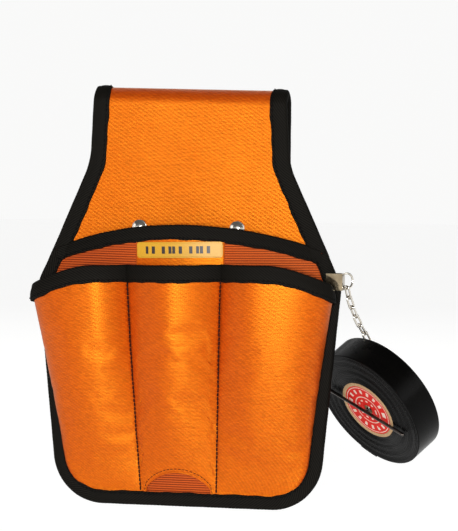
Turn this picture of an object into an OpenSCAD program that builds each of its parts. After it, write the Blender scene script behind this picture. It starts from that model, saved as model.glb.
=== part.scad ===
// Electrician's tool pouch: a stiffened back panel that folds over into a belt loop, a middle
// pocket, a three-channel front pocket, bound edges, and a roll of tape on a chain and toggle bar.
// Millimetres, +Z up, the front faces -Y. The origin is where the belt bears, under the top fold.

/* [Pouch] */
// Height from the top of the fold to the bottom edge
pouch_h = 250; // [230:1:270]
// Half width of the flap at the fold
flap_half = 58; // [54:1:62]
// Half width where the flap begins to flare
neck_half = 60; // [56:1:64]
// Half width at the pocket corners, the widest place
hip_half = 92; // [86:1:96]
// Half width that the two sides aim for at the bottom edge
foot_half = 79; // [72:1:84]
// Radius of the two bottom corners
foot_r = 30; // [20:1:34]

/* [Cloth] */
// Thickness of the outer canvas and of the pocket cloth
canvas_t = 1; // [0.8:0.1:1.2]
// Thickness of the stiffener board
board_t = 1.4; // [1:0.1:1.8]
// Thickness of the lining
lining_t = 0.8; // [0.6:0.1:1]
// Width of the rim and flap bindings on each face
bind_w = 9; // [8:0.5:10]
// Width of the middle pocket's rim binding on each face
mid_bind_w = 8; // [7:0.5:10]
// Width of the lower edge binding on each face
low_bind_w = 7.5; // [7:0.5:9]
// Thickness of the binding tape
bind_t = 1.2; // [1:0.1:1.5]

/* [Belt loop] */
// Clear depth of the belt tunnel, front to back
tunnel_d = 10; // [8:0.5:12]
// Straight drop of the loop behind the panel
loop_drop = 58; // [50:1:64]
// Height of the slope that brings the loop back to the panel
loop_slope = 12; // [10:1:16]
// Height of the hem that is riveted to the panel
hem_h = 20; // [16:1:24]
// Distance of each rivet from the middle
rivet_x = 30; // [26:1:36]
// Diameter of the rivet caps
rivet_d = 9; // [7:0.5:10]

/* [Pockets] */
// Height of the middle pocket's rim above the bottom edge, at the centre
mid_rim_h = 169; // [158:1:172]
// Height of the front pocket's rim above the bottom edge, at the centre
front_rim_h = 146; // [138:1:148]
// How much lower the middle pocket's rim is at the side edges
mid_droop = 19; // [12:1:22]
// How much lower the front pocket's rim is at the side edges
front_droop = 11; // [8:1:16]
// How far the middle pocket stands off the panel
mid_bulge = 14; // [10:1:18]
// How far the outer channels bulge at the rim
side_bulge = 27; // [20:1:30]
// How far the centre channel bulges at the rim
centre_bulge = 13; // [8:1:16]
// Width of the drain arch at the foot of the centre channel
arch_w = 38; // [30:1:42]
// Height of the drain arch above the bottom binding
arch_h = 13; // [8:1:16]

/* [Tape roll and chain] */
// Outer diameter of the tape winding
tape_d = 80; // [70:1:84]
// Width of the tape
tape_w = 19; // [18:0.5:20]
// Outer diameter of the card core
core_d = 40; // [38:0.5:42]
// Pitch of the chain, which is the inside length of a link
pitch = 6.3; // [6:0.1:6.6]
// Diameter of the chain wire
wire = 1.3; // [1.2:0.1:1.4]
// Length of the toggle bar
bar_l = 60; // [56:1:66]

/* [Hidden] */
$fn = 48;
panel_t = canvas_t + board_t + lining_t;
y_back = -tunnel_d/2;             // the panel's rear face
y_front = y_back - panel_t;       // the panel's front face
z_fold = -tunnel_d/2;             // where the panel turns into the fold
z_bot = panel_t - pouch_h;        // the bottom edge
z_neck = z_bot + 205;
z_hip = z_bot + 133;
slack = 0.1;                      // clearance between sewn layers
bind_in = z_bot + low_bind_w;     // upper edge of the bottom binding
rivet_z = z_fold - loop_drop - loop_slope - hem_h/2 + tunnel_d/2;
y_flange = y_front - 2*(canvas_t + slack) - slack;  // front of both pocket cloths where they lie flat

// The canvas colours
orange = [0.92, 0.42, 0.10];
rib_orange = [0.90, 0.30, 0.14];
black = [0.06, 0.06, 0.05];
nickel = [0.78, 0.78, 0.76];

// The sewn lines between the channels: x at the bottom and at the rim
seam_left = [-30, -36];
seam_right = [17, 24];
arch_x = (seam_left[0] + seam_right[0])/2;

// Points of an arc of radius r that rounds corner b between a and c
function unit(v) = v/norm(v);
function rounded(a, b, c, r, n = 8) =
    let (u = unit(a - b), v = unit(c - b), half = acos(u*v)/2, reach = r/tan(half),
         middle = b + unit(u + v)*r/sin(half), from = b + u*reach - middle, to = b + v*reach - middle,
         turn = 180 - 2*half, side = sign(from[0]*to[1] - from[1]*to[0]))
    [for (i = [0:n]) let (t = side*turn*i/n)
        middle + [from[0]*cos(t) - from[1]*sin(t), from[0]*sin(t) + from[1]*cos(t)]];

// The right half of the panel's outline, from the fold down to the bottom centre line
top_pt = [flap_half, z_fold];
neck_pt = [neck_half, z_neck];
hip_pt = [hip_half, z_hip];
foot_pt = [foot_half, z_bot];
half_line = concat([top_pt], rounded(top_pt, neck_pt, hip_pt, 45), rounded(neck_pt, hip_pt, foot_pt, 14),
                   rounded(hip_pt, foot_pt, [0, z_bot], foot_r, 12));
function mirrored(p) = [for (i = [len(p) - 1:-1:0]) [-p[i][0], p[i][1]]];
// The same line moved d inwards, each point along its own normal
function line_normal(p, i) =
    let (a = p[max(i - 1, 0)], b = p[min(i + 1, len(p) - 1)], t = unit(b - a)) [t[1], -t[0]];
function inset(p, d) = [for (i = [0:len(p) - 1]) p[i] + d*line_normal(p, i)];
function whole(p) = concat(p, mirrored(p));
// Half width of the panel at a height
width_table = [for (i = [len(half_line) - 1:-1:0]) [half_line[i][1], half_line[i][0]]];
function half_at(z) = lookup(z, width_table);

// A flat sheet of the panel between two depths, its outline moved d inwards and cut off above top
module sheet(d, y0, y1, top = z_fold) {
    intersection() {
        translate([0, y1, 0]) rotate([90, 0, 0]) linear_extrude(y1 - y0) polygon(whole(inset(half_line, d)));
        translate([-150, y0 - 1, z_bot - 5]) cube([300, y1 - y0 + 2, top - z_bot + 5]);
    }
}
module rivet_places(y) {
    for (side = [-1, 1]) translate([side*rivet_x, y, rivet_z]) rotate([-90, 0, 0]) children();
}
module rivet_holes() {
    rivet_places(y_front - 5) cylinder(d = 3.7, h = 20);
}

// How far each pocket cloth stands off at a place on the panel
function rise(z, rim) = sin(90*max(0, min(1, (z - bind_in)/(z_bot + rim - bind_in))));
inner_line = inset(half_line, low_bind_w + canvas_t + 0.5);
inner_table = [for (i = [len(inner_line) - 1:-1:0]) [inner_line[i][1], inner_line[i][0]]];
function inner_half(z) = lookup(z, inner_table);
function mid_depth(x, z) =
    let (s = min(1, abs(x)/inner_half(z))) mid_bulge*rise(z, mid_rim_h)*cos(90*s);
function seam_x(ends, z) = ends[0] + (ends[1] - ends[0])*(z - z_bot)/front_rim_h;
seam_flat = 2.4;                  // the cloth lies flat this far each side of a sewn line
function crest(s) = s <= 0 || s >= 1 ? 0 : pow(sin(180*s), 0.6);
function channel(x, z) =
    let (l = seam_x(seam_left, z), r = seam_x(seam_right, z), w = inner_half(z), f = seam_flat)
    x < l ? side_bulge*crest((x + w)/(l - f + w)) :
    x < r ? centre_bulge*crest((x - l - f)/(r - l - 2*f)) : side_bulge*crest((x - r - f)/(w - r - f));
function front_depth(x, z) = mid_depth(x, z) + rise(z, front_rim_h)*channel(x, z);

// A point on a pocket cloth, moved off along the cloth's own normal
step = 0.6;
function off_cloth(x, z, y0, d, dx, dz, off) =
    let (n = -[dx, 1, dz]/norm([dx, 1, dz])) [x, y0 - d, z] + off*n;
function mid_pt(x, z, off) =
    off_cloth(x, z, y_front - slack, mid_depth(x, z), (mid_depth(x + step, z) - mid_depth(x - step, z))/2/step,
              (mid_depth(x, z + step) - mid_depth(x, z - step))/2/step, off);
function front_pt(x, z, off) =
    off_cloth(x, z, y_front - 3*slack - canvas_t, front_depth(x, z),
              (front_depth(x + step, z) - front_depth(x - step, z))/2/step,
              (front_depth(x, z + step) - front_depth(x, z - step))/2/step, off);

// A closed slab from two equal grids of points, a in front of b, each a list of rows
module slab(a, b) {
    rows = len(a);
    cols = len(a[0]);
    size = rows*cols;
    function at(r, c) = r*cols + c;
    faces_a = [for (r = [0:rows - 2], c = [0:cols - 2])
        each [[at(r, c), at(r + 1, c), at(r + 1, c + 1)], [at(r, c), at(r + 1, c + 1), at(r, c + 1)]]];
    faces_b = [for (f = faces_a) [f[2] + size, f[1] + size, f[0] + size]];
    rim = concat([for (c = [0:cols - 2]) [at(0, c), at(0, c + 1)]],
                 [for (r = [0:rows - 2]) [at(r, cols - 1), at(r + 1, cols - 1)]],
                 [for (c = [cols - 1:-1:1]) [at(rows - 1, c), at(rows - 1, c - 1)]],
                 [for (r = [rows - 1:-1:1]) [at(r, 0), at(r - 1, 0)]]);
    sides = [for (e = rim) each [[e[0], e[1], e[1] + size], [e[0], e[1] + size, e[0] + size]]];
    polyhedron(points = concat([for (row = a) each row], [for (row = b) each row]),
               faces = concat(faces_a, faces_b, sides));
}
// A closed bar from rings of points
module loft(rings) {
    n = len(rings[0]);
    last = len(rings) - 1;
    walls = [for (i = [0:last - 1], j = [0:n - 1]) let (k = (j + 1) % n)
        each [[i*n + j, i*n + k, (i + 1)*n + k], [i*n + j, (i + 1)*n + k, (i + 1)*n + j]]];
    caps = [[for (j = [n - 1:-1:0]) j], [for (j = [0:n - 1]) last*n + j]];
    polyhedron(points = [for (ring = rings) each ring], faces = concat(walls, caps));
}

// ---- back panel, in layers ----
module back_canvas() {
    color(orange) difference() {
        sheet(slack, y_front, y_front + canvas_t);
        rivet_holes();
    }
}
module stiffener_board() {
    color("tan") difference() {
        sheet(bind_w/2, y_front + canvas_t, y_front + canvas_t + board_t, z_fold - 3);
        rivet_holes();
    }
}
module back_lining() {
    color(black) difference() {
        sheet(slack, y_back - lining_t, y_back);
        rivet_holes();
    }
}

// ---- belt loop: the panel's cloth folds over and comes down behind ----
hem_y = y_back + panel_t;         // rear face of the riveted hem
z_slope = z_fold - loop_drop;
z_hem = z_slope - loop_slope;
module loop_profile(grow, tail) {
    inner = tunnel_d/2 - grow;
    outer = tunnel_d/2 + panel_t + grow;
    fold = [for (a = [180:-15:0]) [outer*cos(a), z_fold + outer*sin(a)]];
    under = [for (a = [0:15:180]) [inner*cos(a), z_fold + inner*sin(a)]];
    polygon(concat(fold, [[outer, z_slope], [hem_y + grow, z_hem], [hem_y + grow, z_hem - tail],
                          [y_back, z_hem - tail], [y_back, z_hem], [inner, z_slope]], under));
}
module across(x0, x1) {
    translate([x0, 0, 0]) rotate([90, 0, 90]) linear_extrude(x1 - x0) children();
}
module belt_loop() {
    color(orange) difference() {
        across(slack - flap_half, flap_half - slack) loop_profile(0, hem_h - bind_w/2);
        rivet_holes();
    }
}
module loop_edge_binding(side) {
    x0 = side > 0 ? flap_half - bind_w : -flap_half - bind_t;
    color(black) difference() {
        across(x0, x0 + bind_w + bind_t) loop_profile(bind_t, hem_h - bind_w - 1);
        across(-flap_half, flap_half) loop_profile(0.02, hem_h);
        translate([-100, y_back - 20, z_hem - 60]) cube([200, 20 + bind_t + 0.02, 60 + loop_slope]);
        translate([-100, y_front - 10, z_fold - 60]) cube([200, 10 + panel_t + bind_t, 60]);
    }
}
module loop_edge_binding_left() { loop_edge_binding(-1); }
module loop_edge_binding_right() { loop_edge_binding(1); }
module loop_hem_binding() {
    z0 = z_hem - hem_h;
    color(black) difference() {
        translate([-flap_half, y_back + slack/2, z0 - bind_t])
            cube([2*flap_half, panel_t + bind_t, bind_w + bind_t]);
        translate([-flap_half - 1, y_back - 1, z0 + bind_w/2 - 0.02])
            cube([2*flap_half + 2, panel_t + 1.05, bind_w]);
    }
}

// ---- rivets ----
module rivet_caps() {
    color(nickel) rivet_places(y_front - slack) mirror([0, 0, 1]) intersection() {
        cylinder(d = rivet_d, h = 2);
        translate([0, 0, -5]) sphere(d = 13.5);
    }
}
module rivet_posts() {
    color(nickel) rivet_places(y_front - slack) union() {
        cylinder(d = 3.6, h = 2*panel_t + slack);
        translate([0, 0, 2*panel_t + slack]) cylinder(d = rivet_d, h = 0.8);
    }
}

// ---- pockets ----
function spread(a, b, n) = [for (i = [1:n]) a + (b - a)*i/n];
// Places across the cloth at one height, with columns on the sewn lines and at the arch's feet
function front_columns(z) =
    let (w = half_at(z) - slack - 0.6, v = inner_half(z), l = seam_x(seam_left, z), r = seam_x(seam_right, z),
         a = arch_w/2, f = seam_flat)
    concat([-w, -v], spread(-v, l - f, 9), [l, l + f, arch_x - a], spread(arch_x - a, arch_x + a, 6),
           [r - f, r, r + f], spread(r + f, v, 9), [w]);
function rim_z(x, z_mid, droop) = z_mid - droop*pow(x/hip_half, 2);
function arch_z(x) =
    let (s = abs(x - arch_x)*2/arch_w) s > 0.99 ? z_bot + 0.8 : bind_in + arch_h*sqrt(1 - s*s);
front_rows = 13;                  // the second row follows the top of the lower binding
top_in = bind_t + 2*slack;        // a rim cloth ends this far below the top of its binding
function front_place(c, r, cut = 0) =
    let (t = r == 1 ? 0.05 : max(0, r - 1)/(front_rows - 1),
         x = front_columns(z_bot + 0.8 + t*(front_rim_h - front_droop - 0.8))[c],
         low = arch_z(x), high = rim_z(x, z_bot + front_rim_h, front_droop) - cut,
         z = r == 1 && low < bind_in ? bind_in - slack : low + t*(high - low))
    [front_columns(z)[c], z];
cols_front = len(front_columns(z_hip));
module front_pocket() {
    function grid(off) = [for (r = [0:front_rows]) [for (c = [0:cols_front - 1])
        let (p = front_place(c, r, top_in)) front_pt(p[0], p[1], off)]];
    color(orange) slab(grid(canvas_t), grid(0));
}
mid_rows = 9;
mid_cols = 24;
function mid_column(c, z) =
    let (w = half_at(z) - slack - 0.6, v = inner_half(z))
    c == 0 ? -w : c == mid_cols ? w : -v + 2*v*(c - 1)/(mid_cols - 2);
function mid_place(c, r, cut = 0) =
    let (t = r == 1 ? 0.05 : max(0, r - 1)/(mid_rows - 1), low = z_bot + 0.8,
         x = mid_column(c, low + t*(mid_rim_h - mid_droop - 0.8)),
         high = rim_z(x, z_bot + mid_rim_h, mid_droop) - cut,
         z = r == 1 ? bind_in - slack : low + t*(high - low))
    [mid_column(c, z), z];
module middle_pocket() {
    function grid(off) = [for (r = [0:mid_rows]) [for (c = [0:mid_cols])
        let (p = mid_place(c, r, top_in)) mid_pt(p[0], p[1], off)]];
    color(rib_orange) slab(grid(canvas_t), grid(0));
}

// A folded tape over a rim: rings of eight points around the cloth's top edge
lap = 0.12;                       // the tape stands this far off the cloth inside its fold
// Where a rim lies on the cloth behind it, the tape's rear layer is squeezed thin
function rear_in(gap) = -min(lap, 0.4*gap);
function rear_out(gap) = -min(bind_t, 0.9*gap);
module front_pocket_binding() {
    color(black) loft([for (c = [1:cols_front - 2])
        let (t = front_place(c, front_rows)[1], b = t - bind_w, x = front_columns(t)[c],
             xm = front_columns(t - bind_t)[c], xb = front_columns(b)[c],
             gap = min(channel(x, t), channel(xb, b)) + 2*slack) [
        front_pt(xb, b, canvas_t + bind_t), front_pt(x, t, canvas_t + bind_t), front_pt(x, t, rear_out(gap)),
        front_pt(xb, b, rear_out(gap)), front_pt(xb, b, rear_in(gap)), front_pt(xm, t - bind_t, rear_in(gap)),
        front_pt(xm, t - bind_t, canvas_t + lap), front_pt(xb, b, canvas_t + lap)]]);
}
module middle_pocket_binding() {
    color(black) loft([for (c = [1:mid_cols - 1])
        let (t = mid_place(c, mid_rows)[1], b = t - mid_bind_w, x = mid_column(c, t),
             xm = mid_column(c, t - bind_t), xb = mid_column(c, b),
             gap = min(mid_depth(x, t), mid_depth(xb, b)) + slack) [
        mid_pt(xb, b, canvas_t + bind_t), mid_pt(x, t, canvas_t + bind_t), mid_pt(x, t, rear_out(gap)),
        mid_pt(xb, b, rear_out(gap)), mid_pt(xb, b, rear_in(gap)), mid_pt(xm, t - bind_t, rear_in(gap)),
        mid_pt(xm, t - bind_t, canvas_t + lap), mid_pt(xb, b, canvas_t + lap)]]);
}

// ---- edge bindings: folded tape around the panel and whatever is sewn to it ----
module edge_tape(y0, y1, w) {
    difference() {
        sheet(-bind_t, y0 - bind_t, y1 + bind_t);
        sheet(w, y0 - 3, y1 + 3, z_fold + 10);
        sheet(0, y0, y1, z_fold + 10);
    }
}
module edge_part(x0, z0, z1) {
    intersection() {
        children();
        translate([x0, -40, z0]) cube([150, 80, z1 - z0]);
    }
}
z_corner = z_bot + mid_rim_h - mid_droop + 9;
module upper_edge_binding(x0) {
    color(black) edge_part(x0, z_corner, z_fold) edge_tape(y_front, y_back, bind_w);
}
module upper_left_edge_binding() { upper_edge_binding(-150); }
module upper_right_edge_binding() { upper_edge_binding(0); }
module lower_edge_binding() {
    color(black) intersection() {
        edge_tape(y_flange, y_back, low_bind_w);
        translate([-150, -40, z_bot - 5]) cube([300, 80, z_corner - z_bot + 4.9]);
    }
}

// ---- small sewn things ----
label_w = 51;
label_h = 9.5;
label_x = -0.5;
label_top = z_bot + mid_rim_h - mid_bind_w - 3.1;
label_from = label_x - label_w/2;
module label() {
    function grid(off) = [for (z = [label_top - label_h, label_top])
        [for (x = concat([label_from], spread(label_from, label_from + label_w, 12))) mid_pt(x, z, off)]];
    color([0.85, 0.66, 0.12]) slab(grid(canvas_t + slack + 0.7), grid(canvas_t + slack));
}
// A row of thread along a sewn line, lying on the cloth
module channel_stitch(ends) {
    thread = 0.9;
    heights = spread(bind_in + 1, z_bot + front_rim_h - bind_w - 3, 18);
    function grid(off) = [for (z = heights)
        [for (x = [-thread/2, thread/2]) front_pt(seam_x(ends, z), z, off) + [x, 0, 0]]];
    color([0.45, 0.12, 0.05]) slab(grid(canvas_t + slack + 0.5), grid(canvas_t + slack + 0.15));
}
module channel_stitch_left() { channel_stitch(seam_left); }
module channel_stitch_right() { channel_stitch(seam_right); }
// Short dense rows of thread where each sewn line meets the rim
module bar_tacks() {
    color([0.45, 0.12, 0.05]) for (ends = [seam_left, seam_right])
        let (z = z_bot + front_rim_h - 7, x = seam_x(ends, z))
            translate(front_pt(x, z, canvas_t + bind_t + slack + 0.6)) cube([1.2, 0.5, 5], center = true);
}

// ---- clip, ring and chain. Everything that hangs is drawn in an upright plane turned by swing_az ----
swing_az = 48;
ring_at = [hip_half + 2.6, 2, z_bot + 136];
ring_r = 4.6;
module hang() { translate(ring_at) rotate([0, 0, swing_az]) children(); }
eye_r = 1.9;
clip_t = 0.8;
module tape_clip() {
    height = 10;
    x_in = hip_half + bind_t + 0.3;
    y0 = y_flange - bind_t - 0.1;
    y1 = y_back + bind_t + 0.1;
    color(nickel) difference() {
        union() {
            translate([x_in - 9, y0 - clip_t, ring_at[2] - height/2]) cube([9 + clip_t, clip_t, height]);
            translate([x_in, y0 - clip_t, ring_at[2] - height/2]) cube([clip_t, y1 - y0 + 2*clip_t, height]);
            translate([x_in - 8, y1, ring_at[2] - height/2]) cube([8 + clip_t, clip_t, height]);
            hang() translate([-ring_r, 0, -1.5]) cylinder(r = eye_r, h = 3);
        }
        hang() translate([-ring_r, 0, -6]) cylinder(r = 1.1, h = 12);
        hang() rotate([90, 0, 0]) rotate_extrude() translate([ring_r, 0]) circle(r = wire/2 + 0.35);
    }
}
module clip_ring() {
    color(nickel) hang() rotate([90, 0, 0]) rotate_extrude() translate([ring_r, 0]) circle(d = wire);
}

// One link about its own middle, long along Z, its plane XZ
link_gap = 0.3;
link_in = 1;
module link() {
    r = link_in + wire/2;
    half = (pitch + link_gap)/2 - link_in;
    for (side = [-1, 1]) translate([side*r, 0, -half]) cylinder(d = wire, h = 2*half);
    for (end = [0, 1]) mirror([0, 0, end]) translate([0, 0, half]) rotate([90, 0, 0])
        rotate_extrude(angle = 180) translate([r, 0]) circle(d = wire);
}
// The chain's run: the lean of each link from straight down, first outwards, then under the roll
roll_lean = 32.6;
free_lean = [16, 22, 27, 32, 36];
back_lean = [for (i = [1:5]) roll_lean];
turn_lean = [roll_lean - 20, roll_lean - 55];
core_lean = [for (i = [1:2]) roll_lean - 90];
lean = concat(free_lean, back_lean, turn_lean, core_lean);
function dir(a) = [sin(a), 0, -cos(a)];
// Each bend is at the wire of the link that lies flat to it, so the bends are not evenly spaced
bend_0 = [0, 0, -ring_r + wire + link_gap];
function reach(i) = pitch + (i % 2 == 0 ? 1 : -1)*(link_gap + wire);
bends = [for (i = 0, p = bend_0; i <= len(lean);
              p = i < len(lean) ? p + reach(i)*dir(lean[i]) : p, i = i + 1) p];
module chain_link(i) {
    color(nickel) hang() translate((bends[i] + bends[i + 1])/2) rotate([0, -lean[i], 0])
        rotate([0, 0, i % 2 == 0 ? 90 : 0]) link();
}
module chain_link_1() { chain_link(0); }
module chain_link_2() { chain_link(1); }
module chain_link_3() { chain_link(2); }
module chain_link_4() { chain_link(3); }
module chain_link_5() { chain_link(4); }
module chain_behind_roll() { for (i = [5:9]) chain_link(i); }
module chain_through_core() { for (i = [10:13]) chain_link(i); }

// ---- tape roll, about its own axis, its front face towards the pouch ----
chain_off = link_in + wire + 1;   // the chain runs this far outside the roll's rear face
axis_dir = dir(roll_lean - 90);
roll_mid = bends[5] + axis_dir*(chain_off + tape_w/2) + dir(roll_lean)*tape_d/2;
module on_roll(depth) {
    hang() translate(roll_mid + axis_dir*depth) rotate([0, -90 - roll_lean, 0]) children();
}
core_t = 2.4;
fit = 0.05;                       // radial clearance between the core and what it carries
module ring_of(d_out, d_in, h, edge) {
    rotate_extrude($fn = 96) polygon([[d_in/2, 0], [d_out/2 - edge, 0], [d_out/2, edge],
        [d_out/2, h - edge], [d_out/2 - edge, h], [d_in/2, h]]);
}
module tape_winding() { color(black) on_roll(-tape_w/2) ring_of(tape_d, core_d, tape_w, 0.4); }
module tape_core() {
    color([0.80, 0.66, 0.42]) on_roll(-tape_w/2)
        ring_of(core_d - 2*fit, core_d - 2*core_t, tape_w, 0.2);
}
label_hole = 6.8;
module core_label() {
    color([0.80, 0.10, 0.08]) on_roll(tape_w/2 - 1)
        ring_of(core_d - 2*core_t - 2*fit, label_hole, 1, 0.1);
}

// ---- toggle bar: a rod with an eye on its middle, lying across the roll's front face ----
bar_d = 2;
eye_in = 1.2;
bar_tilt = -28;
chain_end = bends[len(lean)];
module toggle_bar() {
    color(nickel) hang() translate(chain_end) rotate([0, -90 - roll_lean, 0]) union() {
        translate([0, 0, eye_in + wire/2]) rotate([0, 90, 0]) rotate_extrude()
            translate([eye_in + wire/2, 0]) circle(d = wire);
        translate([0, 0, 2*eye_in + wire + bar_d/2 + 0.3]) rotate([90, 0, bar_tilt])
            for (end = [0, 1]) mirror([0, 0, end]) {
                cylinder(d = bar_d, h = bar_l/2 - bar_d/2);
                translate([0, 0, bar_l/2 - bar_d/2]) sphere(d = bar_d);
            }
    }
}

back_canvas();
stiffener_board();
back_lining();
belt_loop();
loop_edge_binding_left();
loop_edge_binding_right();
loop_hem_binding();
rivet_caps();
rivet_posts();
middle_pocket();
middle_pocket_binding();
front_pocket();
front_pocket_binding();
upper_left_edge_binding();
upper_right_edge_binding();
lower_edge_binding();
label();
channel_stitch_left();
channel_stitch_right();
bar_tacks();
tape_clip();
clip_ring();
chain_link_1();
chain_link_2();
chain_link_3();
chain_link_4();
chain_link_5();
chain_behind_roll();
chain_through_core();
tape_winding();
tape_core();
core_label();
toggle_bar();
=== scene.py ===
import math

import bmesh
import bpy
import numpy as np
from mathutils import Matrix, Vector


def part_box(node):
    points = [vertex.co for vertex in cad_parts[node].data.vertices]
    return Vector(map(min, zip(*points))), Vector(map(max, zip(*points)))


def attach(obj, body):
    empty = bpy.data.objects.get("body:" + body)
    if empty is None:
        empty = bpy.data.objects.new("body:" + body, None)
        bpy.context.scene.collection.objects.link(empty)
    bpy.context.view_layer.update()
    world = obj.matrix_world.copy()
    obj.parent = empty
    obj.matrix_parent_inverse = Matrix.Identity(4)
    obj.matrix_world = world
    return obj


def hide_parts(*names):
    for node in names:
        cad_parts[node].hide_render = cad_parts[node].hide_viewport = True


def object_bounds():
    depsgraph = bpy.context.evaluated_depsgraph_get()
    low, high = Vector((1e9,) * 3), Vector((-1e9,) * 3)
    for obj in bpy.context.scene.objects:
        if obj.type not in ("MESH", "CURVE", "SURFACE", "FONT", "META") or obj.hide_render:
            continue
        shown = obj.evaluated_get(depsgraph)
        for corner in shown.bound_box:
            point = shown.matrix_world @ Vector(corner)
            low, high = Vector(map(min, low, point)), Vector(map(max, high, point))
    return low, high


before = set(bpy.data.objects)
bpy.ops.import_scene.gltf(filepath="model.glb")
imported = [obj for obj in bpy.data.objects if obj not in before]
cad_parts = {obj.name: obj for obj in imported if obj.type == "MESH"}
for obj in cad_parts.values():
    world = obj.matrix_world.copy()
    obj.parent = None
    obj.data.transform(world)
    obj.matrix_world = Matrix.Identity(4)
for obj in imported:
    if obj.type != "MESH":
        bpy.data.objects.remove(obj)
cad_box = [list(corner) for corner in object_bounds()]

# ---- studio ----
# A camera level with the pockets and a little to their right, a pale floor below the hanging
# pouch, and one lamp beside the lens with weaker ones at the sides and behind.
MM = 0.001
scene = bpy.context.scene
AIM = Vector((0.0234, 0.0, -0.1026))


def direction(azimuth, elevation):
    a, e = math.radians(azimuth), math.radians(elevation)
    return Vector((math.sin(a) * math.cos(e), -math.cos(a) * math.cos(e), math.sin(e)))


def place_camera(azimuth, elevation, roll, distance, lens):
    back = direction(azimuth, elevation)
    right = Vector((0, 0, 1)).cross(back).normalized()
    up = back.cross(right)
    c, s = math.cos(math.radians(roll)), math.sin(math.radians(roll))
    right, up = c * right + s * up, c * up - s * right
    data = bpy.data.cameras.new("camera")
    data.lens = lens
    data.sensor_width = 36.0
    camera = bpy.data.objects.new("camera", data)
    scene.collection.objects.link(camera)
    camera.matrix_world = Matrix((
        (right.x, up.x, back.x, AIM.x + back.x * distance),
        (right.y, up.y, back.y, AIM.y + back.y * distance),
        (right.z, up.z, back.z, AIM.z + back.z * distance),
        (0, 0, 0, 1),
    ))
    scene.camera = camera


def soft_lamp(name, azimuth, elevation, distance, size, power):
    data = bpy.data.lights.new(name, "AREA")
    data.shape = "SQUARE"
    data.size = size
    data.energy = power
    lamp = bpy.data.objects.new(name, data)
    back = direction(azimuth, elevation)
    lamp.location = AIM + back * distance
    lamp.rotation_euler = (-back).to_track_quat("-Z", "Y").to_euler()
    lamp.visible_camera = False
    scene.collection.objects.link(lamp)


place_camera(azimuth=12, elevation=2.5, roll=0.45, distance=1.3, lens=146.7)
soft_lamp("front_lamp", 7, 3, 1.6, 0.32, 35)
soft_lamp("left_lamp", -75, 15, 1.6, 0.6, 2.0)
soft_lamp("right_lamp", 82, 22, 1.6, 0.6, 4.0)
soft_lamp("rear_lamp", 190, 35, 1.8, 0.9, 7)
scene.view_settings.view_transform = "Standard"

world = bpy.data.worlds.new("studio")
scene.world = world
world.use_nodes = True


def material(name, **sockets):
    """A new material; sockets are constants on its shader, with _ for a space."""
    made = bpy.data.materials.new(name)
    made.use_nodes = True
    shader = made.node_tree.nodes["Principled BSDF"]
    for key, value in sockets.items():
        shader.inputs[key.replace("_", " ")].default_value = value
    return made


def node(tree, kind, *inputs, out=0, **settings):
    """Adds a node; each input is a number, a colour or the output of another node."""
    made = tree.nodes.new("ShaderNode" + kind)
    for key, value in settings.items():
        setattr(made, key, value)
    for i, value in enumerate(inputs):
        if value is None:
            continue
        if isinstance(value, bpy.types.NodeSocket):
            tree.links.new(value, made.inputs[i])
        else:
            made.inputs[i].default_value = value
    return made.outputs[out]


def separate(tree, vector):
    """The three numbers of a vector."""
    made = tree.nodes.new("ShaderNodeSeparateXYZ")
    tree.links.new(vector, made.inputs[0])
    return made.outputs


def noise(tree, vector, scale, detail=3.0):
    return node(tree, "TexNoise", vector, None, scale, detail, 0.55)


def ramp(tree, value, *stops):
    """A colour ramp; each stop is a place and a colour of three numbers."""
    made = tree.nodes.new("ShaderNodeValToRGB")
    tree.links.new(value, made.inputs[0])
    elements = made.color_ramp.elements
    while len(elements) < len(stops):
        elements.new(0.5)
    for element, (place, colour) in zip(elements, stops):
        element.position = place
        element.color = (*colour, 1)
    return made.outputs[0]


def mottle(tree, value, dark, pale):
    """Two close tones of one finish, mixed by a noise."""
    return ramp(tree, value, (0.3, dark), (0.7, pale))


def finish_material(made, colour=None, rough=None, height=None, depth=0.0002, strength=1.0):
    tree = made.node_tree
    shader = tree.nodes["Principled BSDF"]
    if colour is not None:
        tree.links.new(colour, shader.inputs["Base Color"])
    if rough is not None:
        tree.links.new(rough, shader.inputs["Roughness"])
    if height is not None:
        bump = tree.nodes.new("ShaderNodeBump")
        bump.inputs["Strength"].default_value = strength
        bump.inputs["Distance"].default_value = depth
        tree.links.new(height, bump.inputs["Height"])
        tree.links.new(bump.outputs[0], shader.inputs["Normal"])
    return made


def object_place(tree):
    return node(tree, "TexCoord", out=3)


# The studio's walls are pale round the horizon and darker overhead.
tree = world.node_tree
height = separate(tree, node(tree, "TexCoord"))[2]
walls = ramp(tree, height, (0.09, (0.95, 0.95, 0.945)), (0.22, (0.13, 0.13, 0.13)))
tree.links.new(walls, tree.nodes["Background"].inputs["Color"])

floor_paint = material("floor_paint", Roughness=0.85, Emission_Color=(1, 1, 0.995, 1), Emission_Strength=0.88)
tree = floor_paint.node_tree
speck = noise(tree, object_place(tree), 9.0)
finish_material(floor_paint, mottle(tree, speck, (0.20, 0.20, 0.20), (0.23, 0.23, 0.23)))
floor_mesh = bpy.data.meshes.new("floor")
reach, drop = 8.0, cad_box[0][2] - 0.02
floor_mesh.from_pydata(
    [(-reach, -reach, drop), (reach, -reach, drop), (reach, reach, drop), (-reach, reach, drop)],
    [], [(0, 1, 2, 3)])
floor = bpy.data.objects.new("floor", floor_mesh)
floor_mesh.materials.append(floor_paint)
scene.collection.objects.link(floor)

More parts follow.
